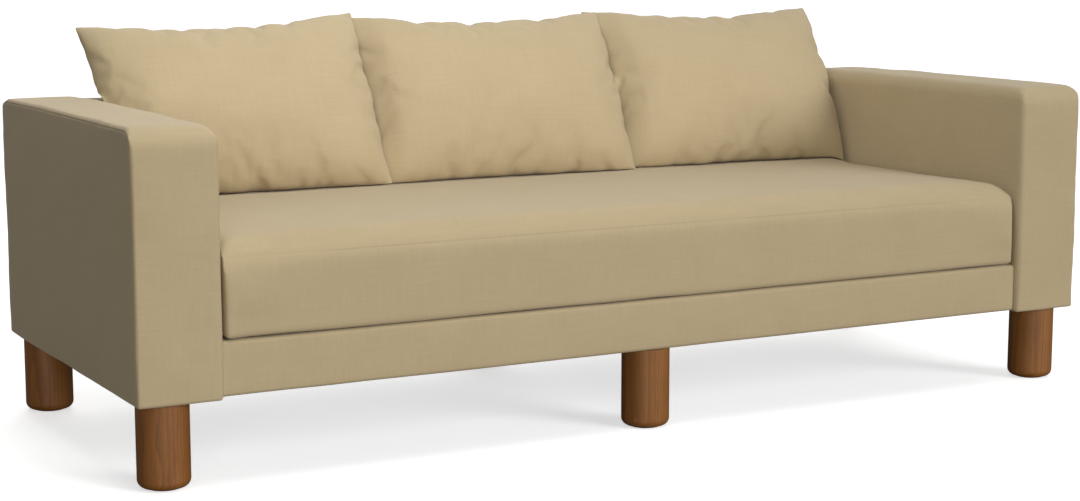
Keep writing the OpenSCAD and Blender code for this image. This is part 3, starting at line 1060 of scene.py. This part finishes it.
# %% Push the pillows out of what they lie against
CONTACT_GAP = 0.0015
BACK_SPARE = 0.003
ARM_GAP = 0.0035
SAG_REACH = 0.12
BEHIND = ABOVE = 1.0


def out_of_back(point, back_low, back_high):
    """Moves a point out of the back's rounded top front edge, if it is inside."""
    centre_y = back_low[1] + BACK_EDGE_RADIUS
    centre_z = back_high[2] - BACK_EDGE_RADIUS
    reach = BACK_EDGE_RADIUS + CONTACT_GAP + BACK_SPARE
    if point.y < centre_y and point.z > centre_z:
        away = Vector((0, point.y - centre_y, point.z - centre_z))
        if away.length < reach:
            away = away.normalized() * reach
            point.y, point.z = centre_y + away.y, centre_z + away.z
    elif point.z <= centre_z:
        point.y = min(point.y, centre_y - reach)
    elif point.z < centre_z + reach:
        point.z = centre_z + reach


def settle(bm, neighbour):
    """Pushes a pillow out of its neighbour, the back, the seat and the arms."""
    tree = neighbour and BVHTree.FromBMesh(neighbour)
    for vert in bm.verts:
        point = vert.co
        if tree:
            hit = tree.ray_cast(Vector((point.x, BEHIND, point.z)), Vector((0, -1, 0)))[0]
            if hit and point.y < hit.y + CONTACT_GAP:
                point.y = hit.y + CONTACT_GAP
        out_of_back(point, back_low, back_high)
        point.z = max(point.z, bench_high[2] + CONTACT_GAP)
        under = seat.ray_cast(Vector((point.x, point.y, ABOVE)), Vector((0, 0, -1)))[0]
        if under:
            sag = bench_high[2] - under.z
            point.z -= sag * ease(1 - (point.z - bench_high[2]) / SAG_REACH)
        if point.z < arm_high[2] + ARM_GAP:
            limit = arm_low[0] - ARM_GAP
            point.x = min(max(point.x, -limit), limit)


# %% Pillows
back_low, back_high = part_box("back_cover")
bench_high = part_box("bench_cover")[1]
arm_low, arm_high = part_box("arm_right_cover")
SINK = 0.010
THIN_REAR, THIN_FRONT = 0.1, 0.6

# Name, width, middle of the foot (x, y), turn and roll in degrees
PILLOWS = (
    ("left", 0.613, (-0.597, 0.206), -2.4, 1.8),
    ("middle", 0.649, (-0.007, 0.208), -2.4, -0.2),
    ("right", 0.612, (0.594, 0.208), -4.0, 0.0),
)


def make_pillow(number, name, width, foot, turn, roll, neighbour):
    """Makes one pillow and returns its shape, for the next one to lie against."""
    bm = stuff(sewn_panels(width, number + 1.0), width)
    if number < len(PILLOWS) - 1:
        thin_end(bm, width, 1, False, THIN_REAR)
    if number > 0:
        thin_end(bm, width, -1, True, THIN_FRONT)
    lean_over(bm)
    place = (
        Matrix.Translation((foot[0], foot[1], bench_high[2] - SINK))
        @ Matrix.Rotation(math.radians(turn), 4, "Z")
        @ Matrix.Rotation(math.radians(-roll), 4, "Y")
    )
    bmesh.ops.transform(bm, matrix=place, verts=bm.verts[:])
    settle(bm, neighbour)
    shape = bm.copy()
    node = f"pillow_{name}"
    pillow = finish_piece(
        f"{node}_stuffed", bm, cloth, node,
        [f"{node}_cover", f"{node}_filling"],
    )
    subdivide(pillow)
    return shape


neighbour = None
for number, facts in enumerate(PILLOWS):
    shape = make_pillow(number, *facts, neighbour)
    if neighbour:
        neighbour.free()
    neighbour = shape
neighbour.free()

# %% [markdown]
# ## Finishes for the pieces inside
#
# The frame, the hardware and the webbing are plain shapes that the CAD model already
# gets right. They only need their finishes: sawn softwood, hardboard, zinc-plated steel,
# elastic webbing, felt and foam. They show when the sofa is taken apart.

# %% Simple procedural finishes
def make_plain(name, dark, light, scale, roughness, metallic=0.0):
    """A finish with a fine, uneven colour and roughness."""
    material = bpy.data.materials.new(name)
    material.use_nodes = True
    w = Wiring(material.node_tree)
    shader = material.node_tree.nodes["Principled BSDF"]
    shader.inputs["Metallic"].default_value = metallic
    place = w.node("ShaderNodeTexCoord")
    speckle = w.noise(place.outputs["Object"], scale, 4.0, 0.6)
    w.join(w.mix(w.span(speckle, 0.3, 0.7), dark, light), shader.inputs["Base Color"])
    rough = w.span(speckle, 0.3, 0.7, roughness - 0.08, roughness + 0.08)
    w.join(rough, shader.inputs["Roughness"])
    bumps = w.node("ShaderNodeBump")
    bumps.inputs["Strength"].default_value = 0.2
    bumps.inputs["Distance"].default_value = 0.0004
    w.join(speckle, bumps.inputs["Height"])
    w.join(bumps.outputs[0], shader.inputs["Normal"])
    return material


# Name, dark and light colour, speckle scale, roughness and metalness of each finish
PLAIN_FINISHES = {
    "hardboard": ("hardboard", (0.13, 0.07, 0.035, 1), (0.2, 0.12, 0.06, 1), 600, 0.8),
    "steel": ("zinc_plate", (0.5, 0.5, 0.49, 1), (0.68, 0.68, 0.66, 1), 300, 0.38, 1.0),
    "webbing": ("webbing", (0.01, 0.01, 0.012, 1), (0.03, 0.03, 0.035, 1), 900, 0.85),
    "felt": ("grey_felt", (0.3, 0.29, 0.26, 1), (0.42, 0.4, 0.37, 1), 700, 0.95),
    "glide": ("glide_felt", (0.02, 0.018, 0.016, 1), (0.05, 0.045, 0.04, 1), 700, 0.95),
    "foam": ("foam", (0.72, 0.68, 0.55, 1), (0.82, 0.79, 0.68, 1), 1200, 0.9),
    "zip_tape": ("zip_tape", (0.2, 0.155, 0.09, 1), (0.3, 0.24, 0.15, 1), 1500, 0.85),
    "zip_metal": ("zip_brass", (0.2, 0.17, 0.11, 1), (0.3, 0.26, 0.18, 1), 500, 0.4, 1.0),
}
inside = {"timber": make_wood("sawn_softwood", PINE, (0.0, 0.9, 0.3), 110.0, 0.7, 0.0)}
for slot, facts in PLAIN_FINISHES.items():
    inside[slot] = make_plain(*facts)
slots = {entry["node"]: entry["material_slot"] for entry in frame["record"]["subparts"]}
for node, cad_object in frame["nodes"].items():
    finish = inside.get(slots[node])
    if finish:
        for material_slot in cad_object.material_slots:
            material_slot.material = finish
print(len(slots), "CAD nodes,", len(PIECES), "new pieces")

# %% [markdown]
# ## Floor and light
#
# A pale floor that runs out of sight leaves nothing to look at but the sofa. A very white
# floor would throw so much light back up that the shaded side of the sofa would look flat.
# So the floor shows the camera a white finish, and gives other pieces the softer light of
# a grey one. A studio does the same with a white sheet and black cards.
#
# A soft, distant sun from the front right and a weaker one from the front left light the
# fronts. A lamp over the seat lights the tops and the far arm's inner side, and the near
# arm's outer side stays in shade. One more weak sun keeps the rear from going dull. The
# sky gives little light, but the camera sees it as white as the floor.

# %% Floor
FLOOR_REACH = 80


def split_by_camera(w, shared, seen, output):
    """Gives camera rays one shader, and all other rays another."""
    rays = w.node("ShaderNodeLightPath")
    either = w.node("ShaderNodeMixShader")
    w.join(rays.outputs["Is Camera Ray"], either.inputs[0])
    w.join(shared.outputs[0], either.inputs[1])
    w.join(seen.outputs[0], either.inputs[2])
    w.join(either.outputs[0], w.tree.nodes[output].inputs["Surface"])


floor_bm = bmesh.new()
bmesh.ops.create_grid(floor_bm, x_segments=1, y_segments=1, size=FLOOR_REACH)
floor_mesh = bpy.data.meshes.new("floor")
floor_bm.to_mesh(floor_mesh)
floor_bm.free()
floor = bpy.data.objects.new("floor", floor_mesh)
bpy.context.collection.objects.link(floor)
floor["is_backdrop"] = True

floor_finish = bpy.data.materials.new("studio_floor")
floor_finish.use_nodes = True
w = Wiring(floor_finish.node_tree)
shown = floor_finish.node_tree.nodes["Principled BSDF"]
shown.inputs["Roughness"].default_value = 0.95
shown.inputs["Emission Color"].default_value = (1, 1, 1, 1)
shown.inputs["Emission Strength"].default_value = 0.62
place = w.node("ShaderNodeTexCoord")
cloud = w.noise(place.outputs["Object"], 0.8, 3.0, 0.5)
w.join(w.mix(cloud, (0.90, 0.90, 0.90, 1), (0.94, 0.94, 0.94, 1)), shown.inputs["Base Color"])
soft = w.node("ShaderNodeBsdfDiffuse")
soft.inputs["Color"].default_value = (0.26, 0.25, 0.24, 1)
split_by_camera(w, soft, shown, "Material Output")
floor_mesh.materials.append(floor_finish)

# %% Light
world = bpy.data.worlds.new("studio")
world.use_nodes = True
w = Wiring(world.node_tree)
background = world.node_tree.nodes["Background"]
background.inputs["Color"].default_value = (1, 1, 1, 1)
background.inputs["Strength"].default_value = 0.12
backdrop = w.node("ShaderNodeBackground")
backdrop.inputs["Color"].default_value = (1, 1, 1, 1)
backdrop.inputs["Strength"].default_value = 0.95
split_by_camera(w, background, backdrop, "World Output")
bpy.context.scene.world = world

# Name, kind, strength, softness, place and target: a sun's softness is the angle that it
# fills in degrees, an area lamp's is its side in metres.
LAMPS = (
    ("sun", "SUN", 1.85, 28, (2.6, -4.2, 1.9), (0, 0, 0.3)),
    ("fill_sun", "SUN", 1.3, 30, (-2.4, -5.2, 0.8), (0, 0, 0.3)),
    ("back_sun", "SUN", 1.2, 50, (1.6, 3.6, 2.9), (0, 0, 0.3)),
    ("overhead", "AREA", 30, 1.6, (-0.6, -0.4, 2.6), (0.3, 0, 0.4)),
)
for name, kind, strength, softness, place, target in LAMPS:
    light = bpy.data.lights.new(name, kind)
    light.energy = strength
    if kind == "SUN":
        light.angle = math.radians(softness)
    else:
        light.size = softness
    lamp = bpy.data.objects.new(name, light)
    lamp.location = place
    direction = Vector(target) - Vector(place)
    lamp.rotation_euler = direction.to_track_quat("-Z", "Y").to_euler()
    lamp.visible_camera = False
    bpy.context.collection.objects.link(lamp)
print("world", world.name, "lights", [light.name for light in bpy.data.lights])

# %% Sizes and finish
low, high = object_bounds()
print("visual box", [round(high[i] - low[i], 3) for i in range(3)])
